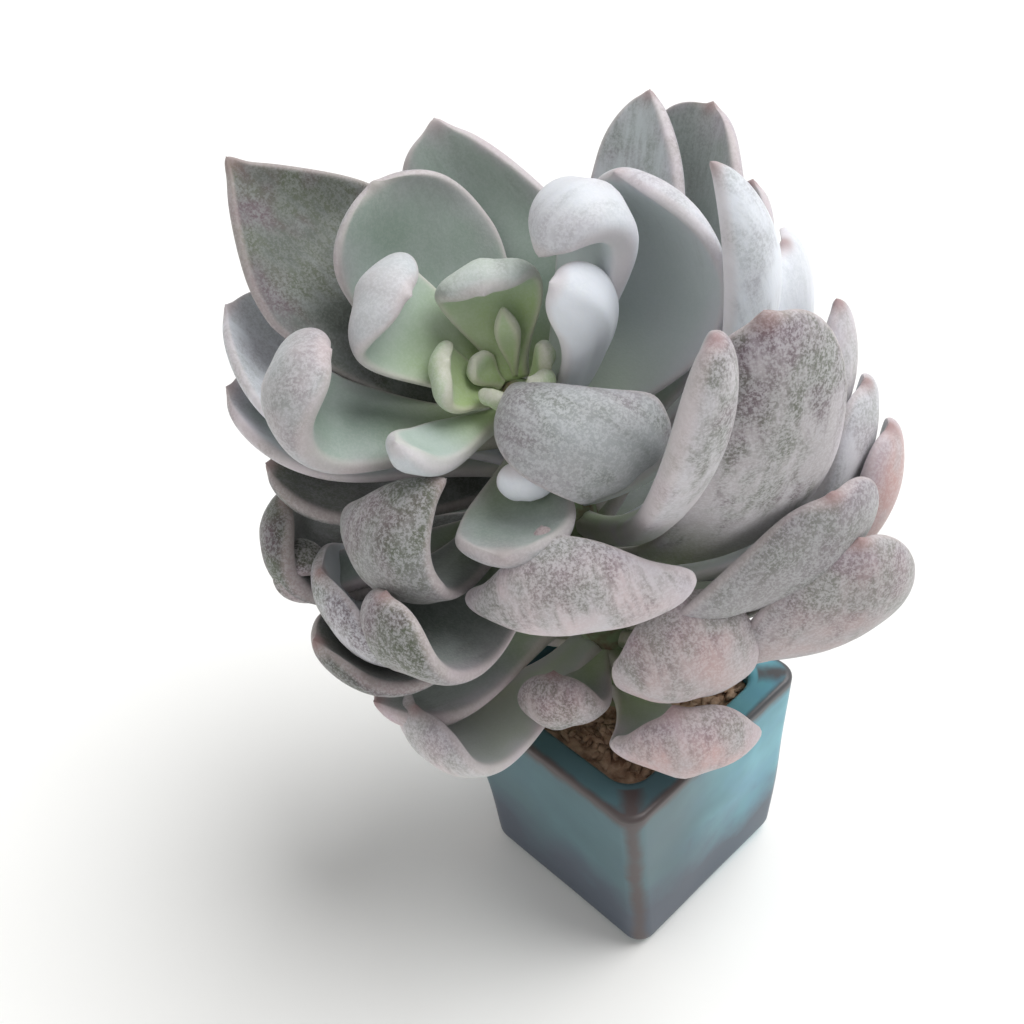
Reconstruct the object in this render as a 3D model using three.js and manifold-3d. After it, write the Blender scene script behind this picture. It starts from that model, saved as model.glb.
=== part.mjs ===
// A potted roly poly echeveria: a square glazed pot, its planting mix, and one short leaning stem that
// carries fifty-three large fleshy leaves and a small heart of young ones.
// Millimetres, +Z up. The origin is the centre of the pot's underside and the pot's sides lie along X and Y.
import * as THREE from 'three';
import { mergeVertices } from 'three/addons/utils/BufferGeometryUtils.js';
import Module from 'manifold-3d';

const wasm = await Module();
wasm.setup();

// Driving dimensions of the pot
const POT_HEIGHT = 66;
const POT_RIM_HALF = 32;
const POT_BASE_HALF = 28.5;
const POT_FOOT_ROUND = 4.6;
const POT_EDGE_ROUND = 1.4;
const POT_CORNER = 5;
const RIM_WIDTH = 7.5;
const INNER_CORNER = 7;
const INNER_TAPER = 1;
const FLOOR_THICK = 5.5;
const DRAIN_DIAMETER = 6;
const DRAIN_SPOT = 11;

// Driving dimensions of the planting mix
const MIX_BELOW_RIM = 4;
const MIX_LUMP = 1.6;

// Clear gap between pieces that touch on the real plant
const GAP = 0.3;

// Driving dimensions of the stem, in the plant's own frame: x to the right of the viewer who faces the
// plant, y away from that viewer, z up from the rim of the pot
const STEM_LINE = new THREE.CubicBezierCurve3(
  new THREE.Vector3(0, 0, -12),
  new THREE.Vector3(-3, 7, 26),
  new THREE.Vector3(-12, 15, 62),
  new THREE.Vector3(-19, 4, 97),
);
const STEM_ROOT_Z = -27;
const STEM_FOOT_TOP_Z = -16;
const STEM_FOOT_ROUND = 1.5;
const STEM_RADIUS = 7;
const STEM_TAPER = 3.2;
const STEM_TAPER_FROM = 0.55;
const PLANT_TURN = 51;

// Leaf rules. A leaf leaves the stem at the share `at` of its height, turned `turn` degrees round it from
// the viewer towards the right. It climbs `rise` degrees from square to the stem, bends by `arch` degrees
// along its whole length and by `hook` degrees more past the share `from`. `long`, `wide` and `thick` are
// millimetres and `foot` is the share of its width at the root. A smaller `blunt` makes a more pointed end,
// `early` below 1 puts the arch near the root, `sway` bends the leaf sideways, `roll` turns it about its
// midline and `skew` leans its tip across. `nib` swells one margin near two thirds of the way, by its sign the
// left or the right one, and `beak` draws out the tip by so many millimetres.
const LEAF_RULE = {
  thick: 7, foot: 0.3, blunt: 2.6, from: 0.55, early: 1, sway: 0, roll: 0, skew: 0, nib: 0, beak: 0.8,
};
const LEAF_CUP = 25;
const LEAF_WIDEST_AT = 0.66;
const LEAF_ROOT_DEPTH = 0.8;
const LEAF_POINT = 0.3;
const BEAK_ROUND = 0.6;
const LEAF_BACK_SHARE = 0.62;

const INNER_LEAVES = [
  { at: 0.985, turn: 176, rise: 42, long: 32, wide: 23, arch: 20, hook: 120, thick: 6 },
  { at: 0.95, turn: 236, rise: 40, long: 50, wide: 26, arch: 10, hook: 135, thick: 6 },
  { at: 0.95, turn: 300, rise: 20, long: 32, wide: 13, arch: 0, hook: 60 },
  {
    at: 0.92, turn: 92, rise: 0, long: 43, wide: 16, arch: 105, hook: 20, thick: 8, foot: 0.7,
    early: 0.6, roll: -50,
  },
  { at: 0.88, turn: 268, rise: 13, long: 70, wide: 28, arch: 35, hook: 115, thick: 10, from: 0.5 },
  { at: 0.87, turn: 116, rise: 47, long: 66, wide: 20, arch: 20, hook: 155, thick: 10, from: 0.63, beak: 2 },
  { at: 0.86, turn: 345, rise: 2, long: 37, wide: 26, arch: 0, hook: 40 },
  { at: 0.86, turn: 205, rise: 42, long: 63, wide: 37, arch: 10, hook: 40 },
  {
    at: 0.83, turn: 39, rise: -10, long: 62, wide: 29, arch: 88, hook: 120, blunt: 1.8, from: 0.2,
    sway: -30, roll: -5, skew: -0.4, nib: 0.2, beak: 2.5,
  },
  { at: 0.86, turn: 354, rise: 12, long: 27, wide: 12, arch: 30, hook: 60 },
  {
    at: 0.82, turn: 163, rise: 42, long: 70, wide: 32, arch: 5, hook: 20, blunt: 1.9, sway: 10,
    skew: 0.42, beak: 2,
  },
  { at: 0.82, turn: 111, rise: 11, long: 73, wide: 40, arch: 65, hook: 45, blunt: 1.8, roll: 22, skew: 0.2 },
];

const UPPER_LEAVES = [
  { at: 0.78, turn: 243, rise: 24, long: 77, wide: 40, arch: 5, hook: 40, blunt: 1.8 },
  { at: 0.75, turn: 255, rise: 16, long: 72, wide: 28, arch: 10, hook: 30, skew: -0.05 },
  {
    at: 0.74, turn: 308, rise: -15, long: 76, wide: 30, arch: 20, hook: 165, blunt: 1.4, from: 0.25,
    sway: -25, roll: 15, nib: -0.5, beak: 2,
  },
  { at: 0.74, turn: 222, rise: 45, long: 94, wide: 46, arch: 5, hook: 15, blunt: 1.3, skew: 0.1, beak: 2 },
  { at: 0.7, turn: 131, rise: 39, long: 85, wide: 30, arch: 5, hook: 15, blunt: 1.7, skew: 0.18 },
  { at: 0.7, turn: 262, rise: 6, long: 64, wide: 24, arch: 10, hook: 40 },
  { at: 0.65, turn: 277, rise: -5, long: 79, wide: 14, arch: 10, hook: 230, thick: 6, from: 0.7, sway: -20 },
  {
    at: 0.64, turn: 83, rise: -5, long: 106, wide: 31, arch: 104, hook: 10, blunt: 1.2, early: 0.7,
    roll: -20, skew: -0.1,
  },
  { at: 0.64, turn: 118, rise: 32, long: 91, wide: 42, arch: 15, hook: 15, blunt: 2.6, skew: 0.25 },
  { at: 0.6, turn: 36, rise: -46, long: 96, wide: 17, arch: 120, hook: 0, thick: 10, early: 0.25, sway: 25 },
  { at: 0.6, turn: 268, rise: -3, long: 82, wide: 29, arch: 10, hook: 125, thick: 9 },
  { at: 0.6, turn: 314, rise: -4, long: 68, wide: 31, arch: 20, hook: 108, roll: -15 },
  { at: 0.6, turn: 172, rise: 22, long: 72, wide: 34, arch: 10, hook: 30 },
];

const MIDDLE_LEAVES = [
  { at: 0.58, turn: 122, rise: 16, long: 86, wide: 26, arch: 32, hook: 15 },
  { at: 0.56, turn: 204, rise: 14, long: 72, wide: 34, arch: 10, hook: 40 },
  { at: 0.52, turn: 291, rise: -16, long: 69, wide: 34, arch: 25, hook: 60 },
  {
    at: 0.5, turn: 357, rise: 5, long: 63, wide: 47, arch: 55, hook: 80, blunt: 1.8, roll: -10,
    nib: 0.2, beak: 2.5,
  },
  {
    at: 0.5, turn: 51, rise: -17, long: 106, wide: 36, arch: 107, hook: 0, blunt: 2.4, early: 0.6,
    roll: -42, beak: 2,
  },
  { at: 0.5, turn: 97, rise: -8, long: 93, wide: 42, arch: 92, hook: 10, early: 0.8, roll: -32 },
  { at: 0.5, turn: 148, rise: 10, long: 74, wide: 34, arch: 15, hook: 40 },
  { at: 0.48, turn: 234, rise: 4, long: 68, wide: 32, arch: 15, hook: 50 },
  { at: 0.47, turn: 286, rise: -7, long: 70, wide: 46, arch: 45, hook: 60 },
  {
    at: 0.44, turn: 86, rise: -12, long: 95, wide: 28, arch: 90, hook: 10, blunt: 1.8, early: 0.8,
    roll: -20,
  },
  { at: 0.43, turn: 182, rise: 6, long: 70, wide: 34, arch: 15, hook: 40 },
  { at: 0.4, turn: 48, rise: -12, long: 75, wide: 38, arch: 78, hook: 20, roll: -25, skew: 0.3 },
];

const LOWER_LEAVES = [
  { at: 0.38, turn: 212, rise: 0, long: 66, wide: 32, arch: 15, hook: 50 },
  { at: 0.37, turn: 82, rise: -19, long: 90, wide: 28, arch: 90, hook: 10, early: 0.8, roll: -20 },
  { at: 0.36, turn: 292, rise: -18, long: 58, wide: 24, arch: 20, hook: 40 },
  { at: 0.35, turn: 126, rise: 0, long: 70, wide: 30, arch: 30, hook: 40 },
  { at: 0.33, turn: 158, rise: -2, long: 66, wide: 32, arch: 20, hook: 40 },
  { at: 0.3, turn: 246, rise: -8, long: 62, wide: 30, arch: 20, hook: 50 },
  { at: 0.26, turn: 80, rise: -22, long: 95, wide: 28, arch: 95, hook: 10, early: 0.8, roll: -20 },
  { at: 0.3, turn: 194, rise: -3, long: 62, wide: 32, arch: 20, hook: 50 },
  { at: 0.24, turn: 301, rise: -18, long: 63, wide: 34, arch: 30, hook: 90 },
  { at: 0.23, turn: 57, rise: -15, long: 88, wide: 42, arch: 84, hook: 20, blunt: 1.8, roll: -40 },
  { at: 0.22, turn: 334, rise: -11, long: 38, wide: 22, arch: 50, hook: 90 },
  { at: 0.2, turn: 24, rise: -3, long: 64, wide: 34, arch: 80, hook: 60, roll: -25, beak: 1.5 },
  { at: 0.2, turn: 228, rise: -6, long: 56, wide: 30, arch: 30, hook: 60 },
  { at: 0.18, turn: 140, rise: -2, long: 60, wide: 30, arch: 30, hook: 50 },
  { at: 0.19, turn: 176, rise: 0, long: 50, wide: 28, arch: 40, hook: 60 },
  { at: 0.11, turn: 17, rise: -18, long: 51, wide: 34, arch: 62, hook: 70, roll: -20, nib: 0.16, beak: 2 },
];

// Young leaves of the heart, which grow as one piece with the stem's tip
const HEART_LEAVES = [
  { at: 0.998, turn: 165, rise: 58, long: 15, wide: 5.5, arch: 10, hook: -15, thick: 3.5, blunt: 1.6 },
  { at: 0.995, turn: 235, rise: 45, long: 9, wide: 8, arch: 20, hook: 20, thick: 3.5 },
  { at: 0.995, turn: 325, rise: 50, long: 9, wide: 8, arch: 20, hook: 30, thick: 3.5 },
  { at: 0.99, turn: 92, rise: 45, long: 13, wide: 7, arch: 30, hook: 10, thick: 4, blunt: 1.8 },
  { at: 0.985, turn: 40, rise: 32, long: 12, wide: 11, arch: 50, hook: 40, thick: 4 },
  { at: 0.97, turn: 262, rise: 37, long: 21, wide: 17, arch: 20, hook: 80, thick: 5 },
];

// How finely each piece is faceted
const LEAF_RINGS = 9;
const LEAF_SIDES = 10;
const YOUNG_RINGS = 6;
const YOUNG_SIDES = 8;
const MIDLINE_STEPS = 200;
const STEM_RINGS = 14;
const STEM_SIDES = 12;
const CORNER_STEPS = 4;
const MIX_RINGS = 6;
const DRAIN_SIDES = 12;
const FACET_TOLERANCE = 0.1;

const radians = THREE.MathUtils.degToRad;
const smooth = (x) => THREE.MathUtils.smoothstep(x, 0, 1);

// Closed skin over a row of rings with equal point counts, with a fan to a pole point at either end.
function skin(rings, firstPole, lastPole) {
  const sides = rings[0].length;
  const points = [firstPole, ...rings.flat(), lastPole];
  const last = points.length - 1;
  const at = (ring, side) => 1 + ring * sides + (side % sides);
  const faces = [];
  for (let side = 0; side < sides; side += 1) {
    faces.push(0, at(0, side + 1), at(0, side));
    for (let ring = 0; ring + 1 < rings.length; ring += 1) {
      faces.push(at(ring, side), at(ring, side + 1), at(ring + 1, side + 1));
      faces.push(at(ring, side), at(ring + 1, side + 1), at(ring + 1, side));
    }
    faces.push(last, at(rings.length - 1, side), at(rings.length - 1, side + 1));
  }
  const geometry = new THREE.BufferGeometry().setFromPoints(points);
  geometry.setIndex(signedVolume(points, faces) < 0 ? faces.reverse() : faces);
  return geometry;
}

// Six times the volume inside the faces, negative where they point inwards.
function signedVolume(points, faces) {
  let sum = 0;
  for (let i = 0; i < faces.length; i += 3) {
    const [a, b, c] = [points[faces[i]], points[faces[i + 1]], points[faces[i + 2]]];
    sum += a.dot(b.clone().cross(c));
  }
  return sum;
}

// A geometry as a solid that can be joined and cut, and back again.
function solidOf(geometry) {
  const bare = geometry.clone();
  bare.deleteAttribute('normal');
  bare.deleteAttribute('uv');
  const merged = mergeVertices(bare);
  return new wasm.Manifold(new wasm.Mesh({
    numProp: 3,
    vertProperties: merged.attributes.position.array,
    triVerts: Uint32Array.from(merged.index.array),
  }));
}

function geometryOf(solid) {
  const mesh = solid.getMesh();
  const geometry = new THREE.BufferGeometry();
  geometry.setAttribute('position', new THREE.BufferAttribute(Float32Array.from(mesh.vertProperties), 3));
  geometry.setIndex([...mesh.triVerts]);
  return geometry;
}

// The largest body that is left of a cut solid, without the slivers that a cut or its simplifying leaves.
function largestBody(solid) {
  const largest = (whole) => whole.decompose().sort((a, b) => b.volume() - a.volume())[0];
  return largest(largest(solid).simplify(FACET_TOLERANCE));
}

// A square with rounded corners at height z, as a ring of points.
function roundedSquare(half, corner, z) {
  const points = [];
  for (let quarter = 0; quarter < 4; quarter += 1) {
    const middle = radians(45 + 90 * quarter);
    const reach = (half - corner) * Math.SQRT2;
    for (let step = 0; step <= CORNER_STEPS; step += 1) {
      const angle = middle + radians(90) * (step / CORNER_STEPS - 0.5);
      points.push(new THREE.Vector3(
        reach * Math.cos(middle) + corner * Math.cos(angle),
        reach * Math.sin(middle) + corner * Math.sin(angle),
        z,
      ));
    }
  }
  return points;
}

// Half width of the pot's outer wall and of its inner wall at height z.
const outerHalf = (z) => THREE.MathUtils.lerp(POT_BASE_HALF, POT_RIM_HALF, z / POT_HEIGHT);
const innerHalf = (z) => POT_RIM_HALF - RIM_WIDTH - INNER_TAPER * (1 - z / POT_HEIGHT);

// The pot: a tapered square wall with a rolled foot and a broad flat rim, and four small drain holes.
function potGeometry() {
  const rings = [];
  const foot = POT_FOOT_ROUND;
  for (const degrees of [0, 30, 60, 90]) {
    const z = foot * (1 - Math.cos(radians(degrees)));
    const half = outerHalf(foot) - foot * (1 - Math.sin(radians(degrees)));
    rings.push(roundedSquare(half, POT_CORNER + 1, z));
  }
  rings.push(roundedSquare(outerHalf(POT_HEIGHT / 2), POT_CORNER, POT_HEIGHT / 2));
  for (const degrees of [0, 45, 90]) {
    const z = POT_HEIGHT - POT_EDGE_ROUND * (1 - Math.sin(radians(degrees)));
    const half = POT_RIM_HALF - POT_EDGE_ROUND * (1 - Math.cos(radians(degrees)));
    rings.push(roundedSquare(half, POT_CORNER, z));
  }
  for (const degrees of [90, 45, 0]) {
    const z = POT_HEIGHT - POT_EDGE_ROUND * (1 - Math.sin(radians(degrees)));
    const half = innerHalf(z) + POT_EDGE_ROUND * (1 - Math.cos(radians(degrees)));
    rings.push(roundedSquare(half, INNER_CORNER, z));
  }
  rings.push(roundedSquare(innerHalf(FLOOR_THICK), INNER_CORNER, FLOOR_THICK));
  const wall = skin(rings, new THREE.Vector3(0, 0, 0), new THREE.Vector3(0, 0, FLOOR_THICK));

  let solid = solidOf(wall);
  for (const [x, y] of [[1, 1], [1, -1], [-1, 1], [-1, -1]]) {
    const hole = new THREE.CylinderGeometry(DRAIN_DIAMETER / 2, DRAIN_DIAMETER / 2, 4 * FLOOR_THICK, DRAIN_SIDES);
    hole.rotateX(radians(90));
    hole.translate(x * DRAIN_SPOT, y * DRAIN_SPOT, 0);
    solid = solid.subtract(solidOf(hole));
  }
  return geometryOf(solid);
}

// A repeatable draw between 0 and 1 from a whole number.
function draw(seed) {
  const wave = Math.sin(seed * 12.9898 + 4.1414) * 43758.5453;
  return wave - Math.floor(wave);
}

// The planting mix: a block that fills the pot, with a lumpy top and a plain hole where the stem stands.
function mixGeometry(stem) {
  const top = POT_HEIGHT - MIX_BELOW_RIM;
  const bottom = FLOOR_THICK + GAP;
  const rings = [bottom, top - MIX_LUMP].map((z) => roundedSquare(innerHalf(z) - GAP, INNER_CORNER, z));
  for (let ring = 0; ring < MIX_RINGS; ring += 1) {
    const share = 1 - ring / MIX_RINGS;
    const half = (innerHalf(top) - 2 * GAP) * share;
    const points = roundedSquare(half, INNER_CORNER * share, top);
    for (const [side, point] of points.entries()) {
      point.z += MIX_LUMP * (draw(ring * points.length + side) - 0.5);
    }
    rings.push(points);
  }
  const block = skin(rings, new THREE.Vector3(0, 0, bottom), new THREE.Vector3(0, 0, top));
  return geometryOf(largestBody(solidOf(block).subtract(stem)));
}

// Radius of the stem at the share s of its height.
const stemRadius = (s) => STEM_RADIUS - STEM_TAPER * smooth((s - STEM_TAPER_FROM) / (1 - STEM_TAPER_FROM));

// The stem as a tube with rounded ends. `room` makes it larger all round.
function stemGeometry(room = 0) {
  const stations = [];
  const root = STEM_LINE.getPoint(0);
  for (const z of [STEM_ROOT_Z, STEM_ROOT_Z + STEM_FOOT_ROUND, STEM_FOOT_TOP_Z]) {
    const point = new THREE.Vector3(root.x, root.y, z);
    const share = z === STEM_ROOT_Z ? 0.6 : 0.95;
    stations.push([point, new THREE.Vector3(0, 0, 1), stemRadius(0) * share + room]);
  }
  for (let k = 0; k <= STEM_RINGS; k += 1) {
    const s = k / STEM_RINGS;
    stations.push([STEM_LINE.getPoint(s), STEM_LINE.getTangent(s), stemRadius(s) + room]);
  }
  const tip = STEM_LINE.getTangent(1);
  const end = STEM_LINE.getPoint(1);
  stations.push([end.clone().addScaledVector(tip, 1.6), tip, stemRadius(1) * 0.7 + room]);
  const rings = stations.map(([point, along, radius]) => {
    const across = new THREE.Vector3(1, 0, 0).addScaledVector(along, -along.x).normalize();
    const beside = new THREE.Vector3().crossVectors(along, across);
    return Array.from({ length: STEM_SIDES }, (_, side) => {
      const angle = radians(360 * side / STEM_SIDES);
      return point.clone()
        .addScaledVector(across, radius * Math.cos(angle))
        .addScaledVector(beside, radius * Math.sin(angle));
    });
  });
  const foot = new THREE.Vector3(root.x, root.y, STEM_ROOT_Z - room);
  return skin(rings, foot, end.clone().addScaledVector(tip, 2.4 + room));
}

// The midline of a leaf: its points and its frames of along, across and inward directions.
function leafMidline(leaf) {
  const along = STEM_LINE.getTangent(leaf.at);
  const front = new THREE.Vector3(0, -1, 0).addScaledVector(along, along.y).normalize();
  const right = new THREE.Vector3().crossVectors(along, front);
  const outward = (angle) => front.clone().multiplyScalar(Math.cos(angle))
    .addScaledVector(right, Math.sin(angle));
  const roll = radians(leaf.roll);
  const point = STEM_LINE.getPoint(leaf.at)
    .addScaledVector(outward(radians(leaf.turn)), LEAF_ROOT_DEPTH * stemRadius(leaf.at));
  const line = [];
  let side = 0;
  for (let step = 0; step <= MIDLINE_STEPS; step += 1) {
    const t = step / MIDLINE_STEPS;
    const bend = leaf.arch * t ** leaf.early + leaf.hook * smooth((t - leaf.from) / (1 - leaf.from));
    const climb = radians(leaf.rise + bend);
    const turn = radians(leaf.turn + leaf.sway * t * t);
    const heading = outward(turn).multiplyScalar(Math.cos(climb)).addScaledVector(along, Math.sin(climb));
    if (step > 0) point.addScaledVector(heading, leaf.long / MIDLINE_STEPS);
    const flat = outward(turn + radians(90));
    const inward = new THREE.Vector3().crossVectors(flat, heading);
    if (step === 0) side = Math.sign(inward.dot(along) * Math.cos(climb) + 1e-9);
    inward.multiplyScalar(side);
    line.push({
      point: point.clone(),
      heading,
      across: flat.clone().multiplyScalar(Math.cos(roll)).addScaledVector(inward, Math.sin(roll)),
      inward: inward.clone().multiplyScalar(Math.cos(roll)).addScaledVector(flat, -Math.sin(roll)),
    });
  }
  return line;
}

// Thickness of a leaf at the share t of its length, as a share of `thick`: waisted past its root and fullest
// towards its end.
const leafSwell = (t) => 0.75 - 0.1 * smooth(t / 0.4) + 0.35 * smooth((t - 0.35) / 0.45);

// Half the angle that a leaf's width is bent through at the share t, more towards its end.
const leafCup = (t) => radians(LEAF_CUP) * (0.6 + 0.8 * smooth((t - 0.4) / 0.6));

// How far a leaf leans across at the share t.
const leafLean = (leaf, t) => leaf.skew * leaf.wide * smooth((t - 0.45) / 0.55);

// How much wider a margin is at the share t where a nib swells it. x runs from -1 to 1 across the leaf.
const leafShoulder = (leaf, t, x) => Math.abs(leaf.nib) * Math.max(Math.sign(leaf.nib) * x, 0) ** 3
  * Math.exp(-(((t - 0.7) / 0.1) ** 2));

// One leaf: a fleshy blade, cupped inwards across its width, that widens from its root to two thirds of
// its length and closes in a round or pointed end with a short hard point. `room` makes it larger all round.
function leafGeometry(row, room = 0, ringCount = LEAF_RINGS, sides = LEAF_SIDES) {
  const leaf = { ...LEAF_RULE, ...row };
  const line = leafMidline(leaf);
  const last = line[MIDLINE_STEPS];
  const tip = last.point.clone().addScaledVector(last.across, leafLean(leaf, 1));
  const rings = [];
  for (let ring = 0; ring < ringCount; ring += 1) {
    const t = 1 - (1 - ring / ringCount) ** 1.25;
    const { point, heading, across, inward } = line[Math.round(t * MIDLINE_STEPS)];
    const end = Math.max((t - LEAF_WIDEST_AT) / (1 - LEAF_WIDEST_AT), 0);
    const grow = leaf.foot + (1 - leaf.foot) * smooth(t / LEAF_WIDEST_AT);
    const close = (1 - end ** leaf.blunt) ** (1 / leaf.blunt);
    const wide = leaf.wide * grow * close + 2 * room;
    const thick = leaf.thick * leafSwell(t) * (1 - end ** 3) ** (1 / 2.4) + 2 * room;
    const curve = 2 * leafCup(t) / wide;
    const middle = point.clone().addScaledVector(across, leafLean(leaf, t));
    rings.push(Array.from({ length: sides }, (_, index) => {
      const u = radians(360 * index / sides);
      const arc = curve * 0.5 * wide * Math.cos(u) * (1 + leafShoulder(leaf, t, Math.cos(u)));
      const side = Math.sin(u) > 0 ? 1 - LEAF_BACK_SHARE : LEAF_BACK_SHARE;
      const off = side * thick * Math.sign(Math.sin(u)) * Math.abs(Math.sin(u)) ** 0.75;
      const spot = middle.clone()
        .addScaledVector(across, Math.sin(arc) * (1 / curve - off))
        .addScaledVector(inward, (1 - Math.cos(arc)) / curve + Math.cos(arc) * off);
      const near = Math.exp(-((spot.distanceTo(tip) / (BEAK_ROUND + leaf.beak)) ** 2));
      return spot.addScaledVector(heading, near * leaf.beak);
    }));
  }
  const root = line[0].point.clone().addScaledVector(line[0].heading, -room);
  const end = tip.clone().addScaledVector(last.heading, leaf.beak + LEAF_POINT + room);
  return skin(rings, root, end);
}

// The heart: the stem's tip and its young leaves, joined as they grow.
function heartSolid(room = 0) {
  let solid = solidOf(stemGeometry(room));
  for (const leaf of HEART_LEAVES) {
    solid = solid.add(solidOf(leafGeometry(leaf, room, YOUNG_RINGS, YOUNG_SIDES)));
  }
  return solid;
}

// Every large leaf, from the heart outwards, cut clear of the stem and of the leaves inside it.
function trimmedLeaves(rows) {
  const placed = [heartSolid(GAP)];
  return rows.map(({ name, leaf }) => {
    let solid = solidOf(leafGeometry(leaf));
    for (const other of placed) {
      solid = solid.subtract(other);
    }
    placed.push(solidOf(leafGeometry(leaf, GAP)));
    return { name, geometry: geometryOf(largestBody(solid)) };
  });
}

const glaze = new THREE.MeshStandardMaterial({ color: 0x6fa0a3, roughness: 0.35, metalness: 0 });
const bark = new THREE.MeshStandardMaterial({ color: 0x5b4638, roughness: 0.95, metalness: 0 });
const stalk = new THREE.MeshStandardMaterial({ color: 0x9fae93, roughness: 0.7, metalness: 0 });
const bloomedLeaf = new THREE.MeshStandardMaterial({ color: 0xb9bfba, roughness: 0.75, metalness: 0 });

function mesh(name, geometry, material) {
  geometry.computeVertexNormals();
  const made = new THREE.Mesh(geometry, material);
  made.name = name;
  return made;
}

const plant = new THREE.Group();
plant.position.z = POT_HEIGHT;
plant.rotation.z = radians(PLANT_TURN);

const whorls = [['inner', INNER_LEAVES], ['upper', UPPER_LEAVES], ['middle', MIDDLE_LEAVES], ['lower', LOWER_LEAVES]];
const rows = whorls.flatMap(([whorl, leaves]) => leaves.map((leaf, index) => ({
  name: `${whorl}_leaf_${index + 1}`,
  leaf,
})));
for (const { name, geometry } of trimmedLeaves(rows)) {
  plant.add(mesh(name, geometry, bloomedLeaf));
}
plant.add(mesh('stem_and_heart', geometryOf(heartSolid().simplify(FACET_TOLERANCE)), stalk));

const stemHole = stemGeometry(GAP);
stemHole.rotateZ(radians(PLANT_TURN));
stemHole.translate(0, 0, POT_HEIGHT);

const echeveria = new THREE.Group();
echeveria.add(mesh('pot', potGeometry(), glaze));
echeveria.add(mesh('planting_mix', mixGeometry(solidOf(stemHole)), bark));
echeveria.add(plant);

export default echeveria;
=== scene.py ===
"""A potted roly poly echeveria: a square glazed pot, bark and coir planting mix, one short leaning stem,
a head of thick powdery leaves and a heart of young ones, on a pale floor in soft studio light."""

import bpy
import numpy as np
from mathutils import Matrix, Vector


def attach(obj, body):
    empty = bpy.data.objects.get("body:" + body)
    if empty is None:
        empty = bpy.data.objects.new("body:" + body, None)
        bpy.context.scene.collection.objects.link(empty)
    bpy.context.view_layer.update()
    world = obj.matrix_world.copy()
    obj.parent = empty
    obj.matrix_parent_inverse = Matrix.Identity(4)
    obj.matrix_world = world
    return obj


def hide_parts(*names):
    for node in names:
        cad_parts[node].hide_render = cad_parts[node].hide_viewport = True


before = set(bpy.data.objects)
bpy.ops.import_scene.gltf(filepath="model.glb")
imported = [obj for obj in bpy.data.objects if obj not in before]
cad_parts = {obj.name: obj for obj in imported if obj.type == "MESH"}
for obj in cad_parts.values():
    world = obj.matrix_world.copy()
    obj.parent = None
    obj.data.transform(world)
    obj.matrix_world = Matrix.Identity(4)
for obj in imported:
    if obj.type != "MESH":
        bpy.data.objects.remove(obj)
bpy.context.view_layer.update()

# Camera. The plant is seen from above its front corner, 43 degrees up and about a third of a metre from
# the pot's rim, with the horizon tipped a little. Its place is given from the rim, in millimetres to the
# viewer's right, away from the viewer and up.
MM = 0.001
POT_HEIGHT = 66 * MM
PLANT_TURN = np.radians(51)
CAMERA_PLACE = np.array([-23.02, -233.42, 281.95]) * MM
CAMERA_CLIMB = np.radians(43)
CAMERA_ROLL = np.radians(-7.6)
FRAME_PIXELS = 1024
FOCAL_PIXELS = 1400
SENSOR_WIDTH = 36


def into_part(points):
    """Turns points from the viewer's directions, measured from the rim, into the part's own frame: a turn
    about the upright axis and a rise by the height of the pot."""
    cos, sin = np.cos(PLANT_TURN), np.sin(PLANT_TURN)
    turn = np.array([[cos, sin, 0], [-sin, cos, 0], [0, 0, 1]])
    return points @ turn + np.array([0, 0, POT_HEIGHT])


ahead = np.array([0, np.cos(CAMERA_CLIMB), -np.sin(CAMERA_CLIMB)])
level = np.array([1.0, 0, 0])
lift = np.cross(level, ahead)
right = level * np.cos(CAMERA_ROLL) + lift * np.sin(CAMERA_ROLL)
upward = lift * np.cos(CAMERA_ROLL) - level * np.sin(CAMERA_ROLL)
axes = into_part(np.array([right, upward, -ahead])) - np.array([0, 0, POT_HEIGHT])
camera = bpy.data.objects.new("camera", bpy.data.cameras.new("camera"))
camera.data.sensor_width = SENSOR_WIDTH
camera.data.lens = SENSOR_WIDTH * FOCAL_PIXELS / FRAME_PIXELS
place = Matrix(axes.T.tolist()).to_4x4()
place.translation = Vector(into_part(CAMERA_PLACE))
camera.matrix_world = place
bpy.context.scene.collection.objects.link(camera)
bpy.context.scene.camera = camera

# Pot. A slip-cast stoneware cube with soft edges and a broad flat rim, dipped in a turquoise glaze. The
# glaze runs thin over the edges, where the brown body shows, and pools slate grey towards the foot. Painted
# shade makes the side to the left darker and greyer.
POT_RIM_HALF = 32 * MM
POT_BASE_HALF = 28.5 * MM
POT_CORNER = 5 * MM
POT_FOOT_ROUND = 4.6 * MM
POT_EDGE_ROUND = 1.4 * MM
RIM_WIDTH = 7.5 * MM
INNER_CORNER = 7 * MM
INNER_TAPER = 1 * MM
FLOOR_THICK = 5.5 * MM
POT_WOBBLE = 0.35 * MM
BARE_ON_RIM = 1.8 * MM
BARE_DOWN_WALL = 4.2 * MM
BARE_ON_CORNER = 0.75
CORNER_SPREAD = 0.75
# The side of the pot towards which the painted shade grows, in the viewer's directions.
PAINTED_SHADE_SIDE = np.array([-1.0, -0.8, 0])
SIDE_POINTS = 26
CORNER_POINTS = 14
UNDER_POINTS = 5
EDGE_POINTS = 9
WALL_POINTS = 32
RIM_POINTS = 6
FLOOR_POINTS = 6


def smooth(x):
    """Rises from 0 to 1 as x does, level at both ends."""
    x = np.clip(x, 0, 1)
    return x * x * (3 - 2 * x)


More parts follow.
